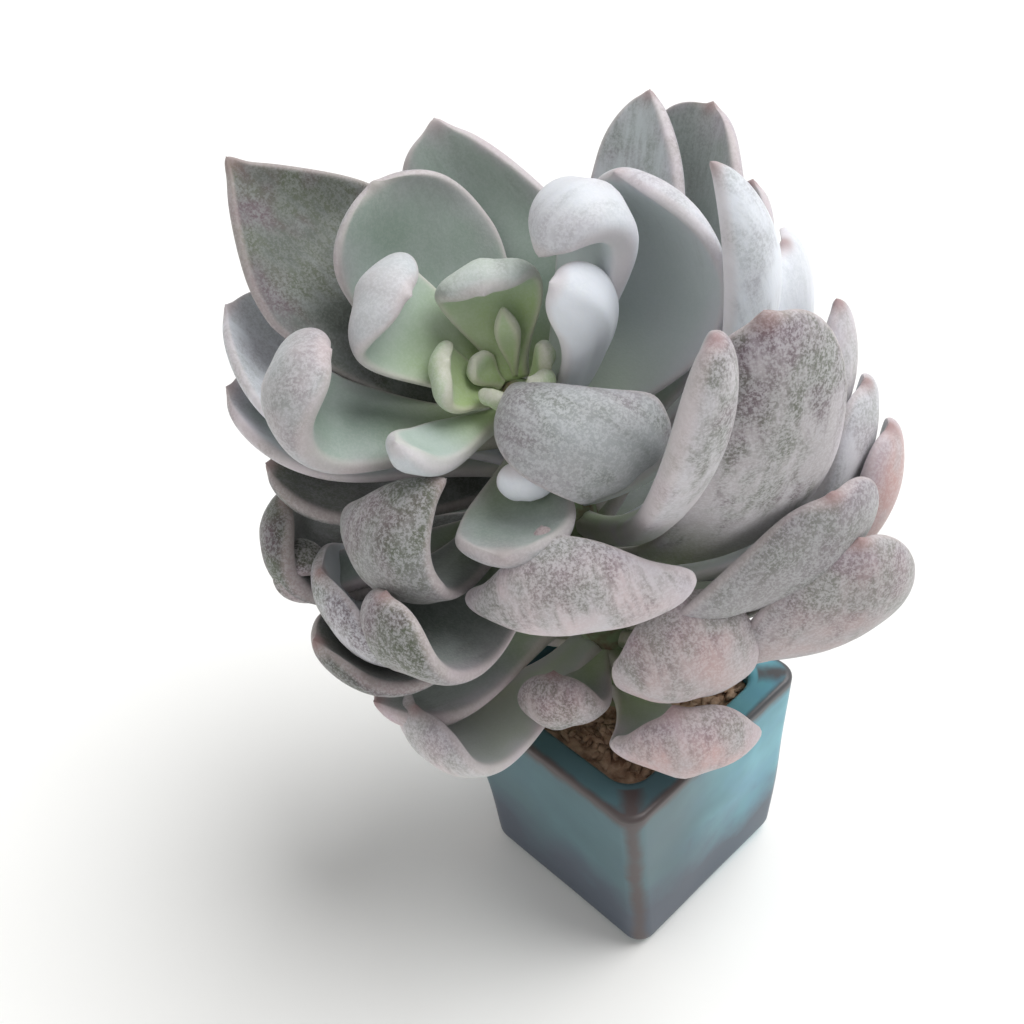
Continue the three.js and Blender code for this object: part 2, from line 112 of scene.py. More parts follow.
def rounded_square():
    """The unit outline of a square with rounded corners, anticlockwise: for each point, the share of the way
    from the centre to the corner's centre along x and y, and the outward direction. Corners turn evenly
    through a quarter circle, and sides move evenly from one corner's centre to the next."""
    turn = np.radians(np.linspace(0, 90, CORNER_POINTS))
    corner_out = np.stack([np.cos(turn), np.sin(turn)], -1)
    corner_share = np.ones_like(corner_out)
    step = np.linspace(1, -1, SIDE_POINTS + 2)[1:-1]
    side_share = np.stack([step, np.ones_like(step)], -1)
    side_out = np.stack([np.zeros_like(step), np.ones_like(step)], -1)
    share, out = np.concatenate([corner_share, side_share]), np.concatenate([corner_out, side_out])
    quarter = np.array([[0.0, 1.0], [-1.0, 0.0]])
    turns = [np.linalg.matrix_power(quarter, k) for k in range(4)]
    return np.concatenate([share @ t for t in turns]), np.concatenate([out @ t for t in turns])


def square_rings(half, corner, height):
    """A grid of points, one rounded square for each row: the corner's centre lies at half less corner from
    the axis, and each point lies one corner radius further out."""
    share, out = rounded_square()
    flat = share[None] * (half - corner)[:, None, None] + out[None] * corner[:, None, None]
    return np.concatenate([flat, np.broadcast_to(height[:, None, None], flat.shape[:2] + (1,))], -1)


def skin_faces(points, rows, columns):
    """Faces of a closed skin whose points are a pole, a grid row by row and the other pole: quads between
    neighbours, the last column joining the first, and a fan of triangles at each pole. The sum of the corner
    products a . (b x c) is six times the volume, and where it is below nought every face is turned round."""
    index = 1 + np.arange(rows * columns).reshape(rows, columns)
    beside = np.roll(index, -1, axis=1)
    quads = np.stack([index[:-1], beside[:-1], beside[1:], index[1:]], -1).reshape(-1, 4)
    low = np.zeros(columns, int)
    fans = np.concatenate([
        np.stack([low, beside[0], index[0]], -1),
        np.stack([low + len(points) - 1, index[-1], beside[-1]], -1),
    ])
    triangles = np.concatenate([fans, quads[:, :3], quads[:, [0, 2, 3]]])
    a, b, c = points[triangles[:, 0]], points[triangles[:, 1]], points[triangles[:, 2]]
    if np.einsum("ij,ij->", a, np.cross(b, c)) < 0:
        quads, fans = quads[:, ::-1], fans[:, ::-1]
    return quads, fans


def closed_skin(name, grid, first, last, values, flat_map=None):
    """Puts a grid of points into a mesh: rows run along the piece and columns round it, and the points first
    and last are its poles. values holds an array like the grid for each named attribute, flat_map holds the
    piece's own map in metres, and a pole takes its nearest row's mean."""
    points = np.concatenate([[first], grid.reshape(-1, 3), [last]])
    quads, fans = skin_faces(points, *grid.shape[:2])
    mesh = bpy.data.meshes.new(name)
    mesh.from_pydata(points.tolist(), [], quads.tolist() + fans.tolist())
    mesh.polygons.foreach_set("use_smooth", np.ones(len(mesh.polygons), bool))
    for key, value in values.items():
        full = np.concatenate([[value[0].mean()], value.ravel(), [value[-1].mean()]])
        mesh.attributes.new(key, "FLOAT", "POINT").data.foreach_set("value", full.astype(np.float32))
    if flat_map is not None:
        full = np.concatenate([[flat_map[0].mean(0)], flat_map.reshape(-1, 2), [flat_map[-1].mean(0)]])
        corners = np.empty(len(mesh.loops), np.int32)
        mesh.loops.foreach_get("vertex_index", corners)
        mesh.uv_layers.new(name="skin_map").data.foreach_set("uv", full[corners].astype(np.float32).ravel())
    mesh.validate()
    return mesh


def piece_of(mesh, material):
    """Links a mesh to the scene as a piece with its material and its slot, riding on the one body."""
    piece = bpy.data.objects.new(mesh.name, mesh)
    bpy.context.scene.collection.objects.link(piece)
    mesh.materials.append(material)
    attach(piece, "root")
    return piece


def linear(code):
    """The linear colour of an sRGB hex value such as 8fa39a."""
    share = np.array([int(code[k:k + 2], 16) / 255 for k in (0, 2, 4)])
    return tuple(np.where(share <= 0.04045, share / 12.92, ((share + 0.055) / 1.055) ** 2.4)) + (1.0,)


def add(tree, kind, inputs=None, **settings):
    """Adds one node with its settings. Each input is a number, a colour or another node's output."""
    node = tree.nodes.new(kind)
    for key, value in settings.items():
        setattr(node, key, value)
    for key, value in (inputs or {}).items():
        if isinstance(value, bpy.types.NodeSocket):
            tree.links.new(value, node.inputs[key])
        else:
            node.inputs[key].default_value = value
    return node


def new_material(name):
    """An empty node material, with its tree and the place of each point in the piece's own frame."""
    material = bpy.data.materials.new(name)
    material.use_nodes = True
    tree = material.node_tree
    tree.nodes.clear()
    return material, tree, add(tree, "ShaderNodeTexCoord").outputs["Object"]


def attribute(tree, key):
    """The value that a mesh carries under this name."""
    return add(tree, "ShaderNodeAttribute", attribute_name=key).outputs["Fac"]


def noise(tree, place, size, detail=2.0, roughness=0.5):
    """Soft noise round one half, in blobs about as wide as size."""
    inputs = {"Vector": place, "Scale": 1 / size, "Detail": detail, "Roughness": roughness}
    return add(tree, "ShaderNodeTexNoise", inputs).outputs[0]


def ranged(tree, value, low, high, start=0.0, end=1.0, **settings):
    """The value carried evenly from the range low to high onto the range start to end, held at both ends."""
    inputs = {"Value": value, 1: low, 2: high, 3: start, 4: end}
    return add(tree, "ShaderNodeMapRange", inputs, **settings).outputs[0]


def calculate(tree, operation, *values, **settings):
    """The result of one operation on its values."""
    return add(tree, "ShaderNodeMath", dict(enumerate(values)), operation=operation, **settings).outputs[0]


def between(tree, share, first, second):
    """The value that lies a share of the way from the first to the second."""
    return add(tree, "ShaderNodeMix", {0: share, 2: first, 3: second}).outputs[0]


def blend(tree, share, first, second):
    """The colour that lies a share of the way from the first to the second, each a hex value or a node's
    output. The share is held between 0 and 1."""
    first, second = [linear(colour) if isinstance(colour, str) else colour for colour in (first, second)]
    inputs = {0: share, 6: first, 7: second}
    return add(tree, "ShaderNodeMix", inputs, data_type="RGBA", clamp_factor=True).outputs[2]


def surface(tree, height, strength, depth, inputs):
    """Ends a material in a principled surface with these inputs and a fine relief from the height."""
    relief = add(tree, "ShaderNodeBump", {"Height": height, "Strength": strength, "Distance": depth})
    shader = add(tree, "ShaderNodeBsdfPrincipled", {**inputs, "Normal": relief.outputs[0]})
    output = add(tree, "ShaderNodeOutputMaterial")
    tree.links.new(shader.outputs[0], output.inputs[0])


def glazed_stoneware():
    """Turquoise reactive glaze on brown stoneware: satin, faintly pitted, breaking brown on edges, slate low
    on the walls, and darker and greyer to one side with painted shade. Glaze has an IOR near 1.5."""
    material, tree, place = new_material("glazed_stoneware")
    edge, low, painted_left_shade = [attribute(tree, key) for key in ("edge", "low", "painted_left_shade")]
    drift = noise(tree, place, 26 * MM, detail=3.0)
    cloud = noise(tree, place, 9 * MM, detail=5.0)
    grain = noise(tree, place, 0.9 * MM, detail=4.0)

    # The turquoise drifts from deep to light, with bluer clouds in it, and painted shade greys it to the
    # left.
    body = blend(tree, ranged(tree, drift, 0.35, 0.65), "599aa8", "7dc2d1")
    body = blend(tree, ranged(tree, cloud, 0.45, 0.75, 0.0, 0.6), body, "629ebc")
    body = blend(tree, calculate(tree, "MULTIPLY", painted_left_shade, 0.82), body, "3f5256")

    # Slate pools low on the walls, and the brown body shows where the glaze has run off the edges.
    sink = calculate(tree, "ADD", low, between(tree, 0.3, drift, cloud))
    body = blend(tree, ranged(tree, sink, 0.95, 1.3, 0.0, 0.95), body, "3f4858")
    wear = calculate(tree, "ADD", edge, calculate(tree, "MULTIPLY", cloud, 0.9))
    body = blend(tree, ranged(tree, wear, 0.75, 1.2, 0.0, 0.9), body, "4d3e3c")

    surface(tree, grain, 0.12, 0.1 * MM, {
        "Base Color": body, "Roughness": 0.42, "IOR": 1.5, "Coat Weight": 0.15, "Coat Roughness": 0.3,
    })
    return material


def pot_profile():
    """Half width, corner radius and height along the pot's section: out under the pot, a quarter circle round
    the foot, straight up the wall, over the outer edge, across the rim, over the inner edge, down to the
    floor and in along it."""
    quarter = np.radians(np.linspace(0, 90, EDGE_POINTS))
    wall = np.linspace(0, 1, WALL_POINTS + 2)[1:-1]
    base_at = POT_BASE_HALF + (POT_RIM_HALF - POT_BASE_HALF) * POT_FOOT_ROUND / POT_HEIGHT
    inner = POT_RIM_HALF - RIM_WIDTH
    rim_z = POT_HEIGHT - POT_EDGE_ROUND
    half = np.concatenate([
        base_at - POT_FOOT_ROUND * np.linspace(6.5, 1.3, UNDER_POINTS),
        base_at - POT_FOOT_ROUND * (1 - np.sin(quarter)),
        base_at + (POT_RIM_HALF - base_at) * wall,
        POT_RIM_HALF - POT_EDGE_ROUND * (1 - np.cos(quarter)),
        np.linspace(POT_RIM_HALF - POT_EDGE_ROUND, inner + POT_EDGE_ROUND, RIM_POINTS + 2)[1:-1],
        inner + POT_EDGE_ROUND * (1 - np.sin(quarter)),
        inner - INNER_TAPER * wall,
        (inner - INNER_TAPER) * np.linspace(1, 0.2, FLOOR_POINTS),
    ])
    height = np.concatenate([
        np.zeros(UNDER_POINTS),
        POT_FOOT_ROUND * (1 - np.cos(quarter)),
        POT_FOOT_ROUND + (rim_z - POT_FOOT_ROUND) * wall,
        rim_z + POT_EDGE_ROUND * np.sin(quarter),
        np.full(RIM_POINTS, POT_HEIGHT),
        rim_z + POT_EDGE_ROUND * np.cos(quarter),
        rim_z + (FLOOR_THICK - rim_z) * wall,
        np.full(FLOOR_POINTS, FLOOR_THICK),
    ])
    outside = np.arange(len(half)) < UNDER_POINTS + EDGE_POINTS + WALL_POINTS + EDGE_POINTS
    corner = np.where(outside, POT_CORNER, INNER_CORNER)
    return half, np.minimum(corner, 0.9 * half), height


def make_pot():
    """The pot's skin: its profile carried round a rounded square, with a slow hand-made wobble outwards, the
    sum of two long waves up the wall and round it. The value edge falls away as a bell from the rim's outer
    edge and the upright corners, low grows from rim to foot, and the painted shade grows towards the left."""
    half, corner, height = pot_profile()
    grid = square_rings(half, corner, height)
    x, y, z = np.moveaxis(grid, -1, 0)
    around = np.arctan2(y, x)
    rise = z / POT_HEIGHT
    wave = np.sin(3 * around + 4 * rise + 0.6) + 0.7 * np.sin(5 * around - 7 * rise + 2.1)
    scale = 1 - POT_WOBBLE * wave * np.sin(np.pi * np.clip(rise, 0, 1)) / POT_RIM_HALF
    grid[..., 0] *= scale
    grid[..., 1] *= scale
    out = rounded_square()[1]
    upright = np.exp(-((np.abs(out[:, 0]) - np.abs(out[:, 1])) / CORNER_SPREAD) ** 2)
    reach = np.where(height > POT_HEIGHT - 0.5 * POT_EDGE_ROUND, BARE_ON_RIM, BARE_DOWN_WALL)
    from_edge = np.hypot(half - POT_RIM_HALF, height - POT_HEIGHT) / reach
    rim_edge = np.exp(-from_edge ** 1.5)
    wall = (height > 2 * MM) & (half > POT_BASE_HALF - 2 * MM)
    edge = np.maximum(rim_edge[:, None], BARE_ON_CORNER * upright[None] * wall[:, None])
    low = np.broadcast_to((1 - rise[:, :1]) * wall[:, None], edge.shape)
    # Painted shade: a share that grows across the pot towards the left, away from the key light.
    left = into_part(PAINTED_SHADE_SIDE) - into_part(np.zeros(3))
    painted_left_shade = smooth(0.5 + 0.9 * (x * left[0] + y * left[1]) / (POT_RIM_HALF * np.linalg.norm(left)))
    first, last = np.zeros(3), np.array([0, 0, FLOOR_THICK])
    return closed_skin("pot_body", grid, first, last, {"edge": edge, "low": low, "painted_left_shade": painted_left_shade})


pot = piece_of(make_pot(), glazed_stoneware())
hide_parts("pot")

# Planting mix. Chopped bark and coir, pressed level a few millimetres below the rim, brown and dull, with
# the larger chips lying loose on top.
MIX_TOP = POT_HEIGHT - 4 * MM
MIX_GAP = 0.3 * MM
MIX_SINK = 1 * MM
MIX_LUMP = 1.3 * MM
MIX_EDGE_DEPTH = 5 * MM
MIX_RINGS = 40
CHIPS = 300
CHIP_MARGIN = 2.4 * MM
CHIP_LEAST = np.array([1.2, 0.6, 0.35]) * MM
CHIP_MOST = np.array([3.6, 1.5, 0.8]) * MM


def chopped_bark():
    """Bark and coir: fibrous brown with paler broken ends, quite rough, no gloss."""
    material, tree, place = new_material("chopped_bark")
    patch = noise(tree, place, 4 * MM, detail=4.0)
    fibre = noise(tree, place, 0.7 * MM, detail=6.0)
    colour = blend(tree, ranged(tree, patch, 0.35, 0.68), "8a6b55", "c4a88f")
    colour = blend(tree, ranged(tree, fibre, 0.5, 0.8, 0.0, 0.5), colour, "c9b49c")
    surface(tree, fibre, 0.6, 0.4 * MM, {"Base Color": colour, "Roughness": 0.9})
    return material


def make_mix():
    """The block of mix: rounded squares up the pot's inner wall and then inwards over the top, whose height
    is a product of short crossed waves."""
    inner = POT_RIM_HALF - RIM_WIDTH - MIX_GAP
    foot = inner - INNER_TAPER
    half = np.concatenate([[foot, foot], inner * np.linspace(1, 0.06, MIX_RINGS)])
    height = np.concatenate([
        [FLOOR_THICK + MIX_GAP, MIX_TOP - MIX_EDGE_DEPTH],
        np.full(MIX_RINGS, MIX_TOP - MIX_SINK),
    ])
    grid = square_rings(half, np.minimum(INNER_CORNER, 0.5 * half), height)
    x, y = grid[2:, :, 0] / MM, grid[2:, :, 1] / MM
    lumps = np.sin(0.9 * x + 1.3 * np.sin(0.7 * y)) * np.cos(1.1 * y + np.sin(0.8 * x + 2))
    grid[2:, :, 2] += MIX_LUMP * 0.5 * lumps
    first, last = np.array([0, 0, FLOOR_THICK + MIX_GAP]), np.array([0, 0, MIX_TOP - MIX_SINK])
    return closed_skin("mix_bed", grid, first, last, {})


def make_chips():
    """Loose chips as one mesh: each is a squashed, jagged ellipsoid of 6 by 8 points, with its own length,
    width, turn and tilt, scattered over the top by a seeded draw."""
    draw = np.random.default_rng(11)
    rows, columns = 6, 8
    polar = np.pi * (np.arange(rows) + 0.5) / rows
    angle = 2 * np.pi * np.arange(columns) / columns
    ball = np.stack([
        np.broadcast_to(np.cos(polar)[:, None], (rows, columns)),
        np.sin(polar)[:, None] * np.cos(angle),
        np.sin(polar)[:, None] * np.sin(angle),
    ], -1)
    reach = POT_RIM_HALF - RIM_WIDTH - CHIP_MARGIN
    size = draw.uniform(CHIP_LEAST, CHIP_MOST, (CHIPS, 3))
    jag = 1 + draw.uniform(-0.3, 0.3, (CHIPS, rows, columns, 1))
    body = ball[None] * jag * size[:, None, None]
    turn, tilt = draw.uniform(0, 2 * np.pi, CHIPS), draw.normal(0, 0.35, CHIPS)
    one, none = np.ones(CHIPS), np.zeros(CHIPS)
    cos, sin = np.cos(tilt), np.sin(tilt)
    lean = np.array([[cos, none, sin], [none, one, none], [-sin, none, cos]])
    cos, sin = np.cos(turn), np.sin(turn)
    spin = np.array([[cos, -sin, none], [sin, cos, none], [none, none, one]])
    spot = draw.uniform(-reach, reach, (2, CHIPS))
    centre = np.stack([*spot, MIX_TOP + draw.uniform(-0.9, 0.1, CHIPS) * MM], -1)
    placed = np.einsum("ijn,jkn,nrck->nrci", spin, lean, body) + centre[:, None, None]
    poles = placed[:, 0].mean(1, keepdims=True), placed[:, -1].mean(1, keepdims=True)
    points = np.concatenate([poles[0], placed.reshape(CHIPS, -1, 3), poles[1]], 1)
    quads, fans = skin_faces(points[0], rows, columns)
    chip = np.arange(CHIPS)[:, None, None] * points.shape[1]
    faces = (quads + chip).reshape(-1, 4).tolist() + (fans + chip).reshape(-1, 3).tolist()
    joined = bpy.data.meshes.new("mix_chips")
    joined.from_pydata(points.reshape(-1, 3).tolist(), [], faces)
    joined.polygons.foreach_set("use_smooth", np.ones(len(joined.polygons), bool))
    return joined


bark = chopped_bark()
mix_bed = piece_of(make_mix(), bark)
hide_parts("planting_mix")
piece_of(make_chips(), bark)

# Stem. A short fleshy stalk as thick as a finger, leaning towards the viewer's left and then forwards to
# the light, pale green with corky brown rings where old leaves came off near its foot.
STEM_LINE = np.array([[0, 0, -12], [-3, 7, 26], [-12, 15, 62], [-19, 4, 97]]) * MM
STEM_ROOT_Z = -27 * MM
STEM_FOOT_TOP_Z = -20 * MM
STEM_FOOT_RADII = np.array([4, 6.5]) * MM
STEM_RADIUS = 7 * MM
STEM_TAPER = 3.2 * MM
SCARS = 14
SCAR_SWELL = 0.035
STEM_ALONG = 90
STEM_AROUND = 28


def stem_point(s):
    """Point on the cubic curve of the stem at the share s of its height."""
    s = np.atleast_1d(s)[:, None]
    weights = np.concatenate([(1 - s) ** 3, 3 * s * (1 - s) ** 2, 3 * s * s * (1 - s), s ** 3], 1)
    return weights @ STEM_LINE


def stem_along(s):
    """Unit direction of the stem at the share s of its height."""
    s = np.atleast_1d(s)[:, None]
    steps = np.diff(STEM_LINE, axis=0)
    along = np.concatenate([(1 - s) ** 2, 2 * s * (1 - s), s * s], 1) @ steps
    return along / np.linalg.norm(along, axis=1, keepdims=True)


def stem_radius(s):
    """Radius of the stem, which thins by its taper over the upper half."""
    return STEM_RADIUS - STEM_TAPER * smooth((s - 0.55) / 0.45)


def stalk_skin():
    """Fleshy stem: pale green under a thin wax, with brown corky flecks and rings low down."""
    material, tree, place = new_material("stalk_skin")
    fleck = noise(tree, place, 3 * MM, detail=5.0)
    colour = blend(tree, ranged(tree, fleck, 0.45, 0.7), "8f9f7c", "7a6653")
    surface(tree, fleck, 0.4, 0.5 * MM, {"Base Color": colour, "Roughness": 0.65})
    return material


def make_stem():
    """The stalk: circles square to the curve, whose radius swells by a small wave at each leaf scar, on a
    straight buried foot, with a rounded tip."""
    s = np.linspace(0, 1, STEM_ALONG)
    line = np.concatenate([[[0, 0, STEM_ROOT_Z], [0, 0, STEM_FOOT_TOP_Z]], stem_point(s)])
    along = np.concatenate([[[0, 0, 1.0], [0, 0, 1.0]], stem_along(s)])
    scars = 1 + SCAR_SWELL * np.sin(2 * np.pi * s * SCARS) * (1 - s)
    close = np.sqrt(np.clip(1 - ((s - 0.97) / 0.032) ** 2, 0.02, 1)) * (s > 0.97) + (s <= 0.97)
    radius = np.concatenate([STEM_FOOT_RADII, stem_radius(s) * scars * close])
    across = np.array([1.0, 0, 0]) - along * along[:, :1]
    across /= np.linalg.norm(across, axis=1, keepdims=True)
    beside = np.cross(along, across)
    angle = 2 * np.pi * np.arange(STEM_AROUND) / STEM_AROUND
    ring = across[:, None] * np.cos(angle)[None, :, None] + beside[:, None] * np.sin(angle)[None, :, None]
    grid = into_part(line[:, None] + ring * radius[:, None, None])
    first, last = into_part(line[:1])[0], into_part(line[-1:] + along[-1:] * 0.5 * MM)[0]
    return closed_skin("stalk", grid, first, last, {})


stalk = piece_of(make_stem(), stalk_skin())
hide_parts("stem_and_heart")

# Leaves. Thick juicy blades, green inside, under a skin of powdery wax that makes them blue grey near the
# heart and mauve grey further out, with olive and purple mottling, pale rims and small red points. The old
# lower ones droop, and the end of each curls in over a hollow face.

# Each leaf grows out of the stem at the share `at` of its height, turned `turn` degrees from the viewer to
# the right, and climbs `rise` degrees. Its climb grows by `arch` along the blade, fastest at first when
# `early` is under 1, and by `hook` past the share `start`. `sway` adds to its turn and `roll` turns the blade
# about its own midline. The millimetres are `long`, `wide` and `thick`, `keel` for the ridge down the back,
# `wave` for the ripple of the rim, and `beak` for the point. `foot` is the root's share of the width, a low
# `blunt` draws the end out, `skew` leans the end and `nib` swells a shoulder to one side. `mottle` is how
# marked the back is and `inner` how marked the face is. `wax_and_painted_light` runs from worn wax and
# painted shade at -1 to thick wax and painted light at 1. `blush` is the pink, and `green` is how far the
# green reaches from the root.
LEAF_RULE = dict(
    thick=7, foot=0.3, blunt=2.6, start=0.55, early=1, sway=0, roll=0, skew=0, nib=0, beak=0.8, keel=0.5,
    wave=0, mottle=0.4, inner=0.1, wax_and_painted_light=0, blush=0.3, green=1,
)
INNER_LEAVES = [
    dict(at=.985, turn=176, rise=42, long=32, wide=23, arch=20, hook=120, thick=6, mottle=.3, wax_and_painted_light=0,
         blush=.1, green=2.4),
    dict(at=.95, turn=236, rise=40, long=50, wide=26, arch=10, hook=135, thick=6, mottle=.1, inner=0,
         wax_and_painted_light=-.1, blush=.25, green=1.5),
    dict(at=.95, turn=300, rise=20, long=32, wide=13, arch=0, hook=60, mottle=.1, inner=0, wax_and_painted_light=.08,
         blush=.05, green=1.3),
    dict(at=.92, turn=92, rise=0, long=43, wide=16, arch=105, hook=20, thick=8, foot=.7, early=.6, roll=-50,
         mottle=.08, wax_and_painted_light=1, blush=.05, green=1.4),
    dict(at=.88, turn=268, rise=13, long=70, wide=28, arch=35, hook=115, thick=10, start=.5, mottle=.4,
         inner=0, wax_and_painted_light=-.22, blush=.35),
    dict(at=.87, turn=116, rise=47, long=66, wide=20, arch=20, hook=155, thick=10, start=.63, beak=2,
         mottle=.25, inner=0, wax_and_painted_light=.55, blush=.3),
    dict(at=.86, turn=345, rise=2, long=37, wide=26, arch=0, hook=40, mottle=.1, inner=0, wax_and_painted_light=-.4,
         blush=.1, green=1.5),
    dict(at=.86, turn=205, rise=42, long=63, wide=37, arch=10, hook=40, mottle=.3, inner=.12, wax_and_painted_light=-.22,
         blush=.35),
    dict(at=.83, turn=39, rise=-10, long=62, wide=29, arch=88, hook=120, blunt=1.8, start=.2, sway=-30,
         roll=-5, skew=-.4, nib=.2, beak=2.5, mottle=.55, wax_and_painted_light=-.42, blush=.1),
    dict(at=.86, turn=354, rise=12, long=27, wide=12, arch=30, hook=60, mottle=.1, wax_and_painted_light=1, blush=.15),
    dict(at=.82, turn=163, rise=42, long=70, wide=32, arch=5, hook=20, blunt=1.9, sway=10, skew=.42, beak=2,
         mottle=.3, inner=.2, wax_and_painted_light=-.05, blush=.3),
    dict(at=.82, turn=111, rise=11, long=73, wide=40, arch=65, hook=45, blunt=1.8, roll=22, skew=.2,
         mottle=.3, inner=.15, wax_and_painted_light=.45, blush=.35),
]
UPPER_LEAVES = [
    dict(at=.78, turn=243, rise=24, long=77, wide=40, arch=5, hook=40, blunt=1.8, mottle=.5, inner=.35,
         wax_and_painted_light=1.1, blush=.6),
    dict(at=.75, turn=255, rise=16, long=72, wide=28, arch=10, hook=30, skew=-.05, mottle=.6, inner=.3,
         wax_and_painted_light=.25, blush=.5),
    dict(at=.74, turn=308, rise=-15, long=76, wide=30, arch=20, hook=165, blunt=1.4, start=.25, sway=-25,
         roll=15, nib=-.5, beak=2, mottle=.85, wax_and_painted_light=-.65, blush=.35),
    dict(at=.74, turn=222, rise=45, long=94, wide=46, arch=5, hook=15, blunt=1.3, skew=.1, wave=.6, beak=2,
         mottle=.9, inner=.85, wax_and_painted_light=-.85, blush=.2),
    dict(at=.7, turn=131, rise=39, long=85, wide=30, arch=5, hook=15, blunt=1.7, skew=.18, wave=.7,
         mottle=.6, inner=.5, wax_and_painted_light=.45, blush=.3),
    dict(at=.7, turn=262, rise=6, long=64, wide=24, arch=10, hook=40, mottle=.6, inner=.6, wax_and_painted_light=-1,
         blush=.5),
    dict(at=.65, turn=277, rise=-5, long=79, wide=14, arch=10, hook=230, thick=6, start=.7, sway=-20,
         mottle=.9, wax_and_painted_light=-.1, blush=.4),
    dict(at=.64, turn=83, rise=-5, long=106, wide=31, arch=104, hook=10, blunt=1.2, early=.7, roll=-20,
         skew=-.1, mottle=.38, wax_and_painted_light=1, blush=.1),
    dict(at=.64, turn=118, rise=32, long=91, wide=42, arch=15, hook=15, blunt=2.6, skew=.25, wave=.7,
         mottle=.3, inner=.35, wax_and_painted_light=.1, blush=.4),
    dict(at=.6, turn=36, rise=-46, long=96, wide=17, arch=120, hook=0, thick=10, early=.25, sway=25,
         mottle=.7, wax_and_painted_light=.15, blush=.2),
    dict(at=.6, turn=268, rise=-3, long=82, wide=29, arch=10, hook=125, thick=9, mottle=1, inner=.4,
         wax_and_painted_light=-1, blush=.15),
    dict(at=.6, turn=314, rise=-4, long=68, wide=31, arch=20, hook=108, roll=-15, mottle=.9, inner=.4,
         wax_and_painted_light=-.45, blush=.15),
    dict(at=.6, turn=172, rise=22, long=72, wide=34, arch=10, hook=30),
]
MIDDLE_LEAVES = [
    dict(at=.58, turn=122, rise=16, long=86, wide=26, arch=32, hook=15, mottle=.2, wax_and_painted_light=.3, blush=.6),
    dict(at=.56, turn=204, rise=14, long=72, wide=34, arch=10, hook=40),
    dict(at=.52, turn=291, rise=-16, long=69, wide=34, arch=25, hook=60, wave=.5, mottle=.9, inner=.5,
         wax_and_painted_light=-1, blush=.6),
    dict(at=.5, turn=357, rise=5, long=63, wide=47, arch=55, hook=80, blunt=1.8, roll=-10, nib=.2, beak=2.5,
         mottle=.65, wax_and_painted_light=.3, blush=.8),
    dict(at=.5, turn=51, rise=-17, long=106, wide=36, arch=107, hook=0, blunt=2.4, early=.6, roll=-42,
         beak=2, mottle=.8, wax_and_painted_light=-.08, blush=.02),
    dict(at=.5, turn=97, rise=-8, long=93, wide=42, arch=92, hook=10, early=.8, roll=-32, mottle=.15,
         wax_and_painted_light=.95, blush=.9),
    dict(at=.5, turn=148, rise=10, long=74, wide=34, arch=15, hook=40),
    dict(at=.48, turn=234, rise=4, long=68, wide=32, arch=15, hook=50),
    dict(at=.47, turn=286, rise=-7, long=70, wide=46, arch=45, hook=60, mottle=.8, wax_and_painted_light=.8, blush=1.5),
    dict(at=.44, turn=86, rise=-12, long=95, wide=28, arch=90, hook=10, blunt=1.8, early=.8, roll=-20,
         mottle=.35, wax_and_painted_light=.25, blush=.35),
    dict(at=.43, turn=182, rise=6, long=70, wide=34, arch=15, hook=40),
    dict(at=.4, turn=48, rise=-12, long=75, wide=38, arch=78, hook=20, roll=-25, skew=.3, mottle=.5,
         wax_and_painted_light=-.45, blush=.02),
]
LOWER_LEAVES = [
    dict(at=.38, turn=212, rise=0, long=66, wide=32, arch=15, hook=50),
    dict(at=.37, turn=82, rise=-19, long=90, wide=28, arch=90, hook=10, early=.8, roll=-20, mottle=.45,
         wax_and_painted_light=.55, blush=.35),
    dict(at=.36, turn=292, rise=-18, long=58, wide=24, arch=20, hook=40, mottle=.3, inner=.3, blush=.9),
    dict(at=.35, turn=126, rise=0, long=70, wide=30, arch=30, hook=40),
    dict(at=.33, turn=158, rise=-2, long=66, wide=32, arch=20, hook=40),
    dict(at=.3, turn=246, rise=-8, long=62, wide=30, arch=20, hook=50),
    dict(at=.26, turn=80, rise=-22, long=95, wide=28, arch=95, hook=10, early=.8, roll=-20, mottle=.15,
         wax_and_painted_light=-.1, blush=2),
    dict(at=.3, turn=194, rise=-3, long=62, wide=32, arch=20, hook=50),
    dict(at=.24, turn=301, rise=-18, long=63, wide=34, arch=30, hook=90, mottle=.5, wax_and_painted_light=.4, blush=.95,
         green=2),
    dict(at=.23, turn=57, rise=-15, long=88, wide=42, arch=84, hook=20, blunt=1.8, roll=-40, mottle=.6,
         wax_and_painted_light=-.2, blush=.45),
    dict(at=.22, turn=334, rise=-11, long=38, wide=22, arch=50, hook=90, mottle=.7, wax_and_painted_light=.05, blush=.8),
    dict(at=.2, turn=24, rise=-3, long=64, wide=34, arch=80, hook=60, roll=-25, beak=1.5, mottle=.55,
         wax_and_painted_light=-.1, blush=.6),
    dict(at=.2, turn=228, rise=-6, long=56, wide=30, arch=30, hook=60),
    dict(at=.18, turn=140, rise=-2, long=60, wide=30, arch=30, hook=50),
    dict(at=.19, turn=176, rise=0, long=50, wide=28, arch=40, hook=60),
    dict(at=.11, turn=17, rise=-18, long=51, wide=34, arch=62, hook=70, roll=-20, nib=.16, beak=2,
         mottle=.55, wax_and_painted_light=.05, blush=.95),
]
LEAF_CUP = np.radians(25)
LEAF_WIDEST_AT = 0.66
LEAF_BACK_SHARE = 0.62
LEAF_ROOT_DEPTH = 0.8
KEEL_SPREAD = 0.17
GROOVE_DEPTH = 0.3 * MM
SHOULDER_AT = 0.7
SHOULDER_SPREAD = 0.1
BEAK_ROUND = 0.6 * MM
TIP_CLOSE = 0.3 * MM
PALE_RIM = 1.5 * MM
LILAC_BAND = 7 * MM
RED_POINT = 2.4 * MM
MIDLINE_STEPS = 200
LEAF_ALONG = 76
LEAF_AROUND = 56

# Steps along a leaf, closer together towards its end, and round its section.
leaf_steps = 1 - (1 - np.arange(LEAF_ALONG) / LEAF_ALONG) ** 2.0
leaf_turns = 2 * np.pi * np.arange(LEAF_AROUND)[None] / LEAF_AROUND


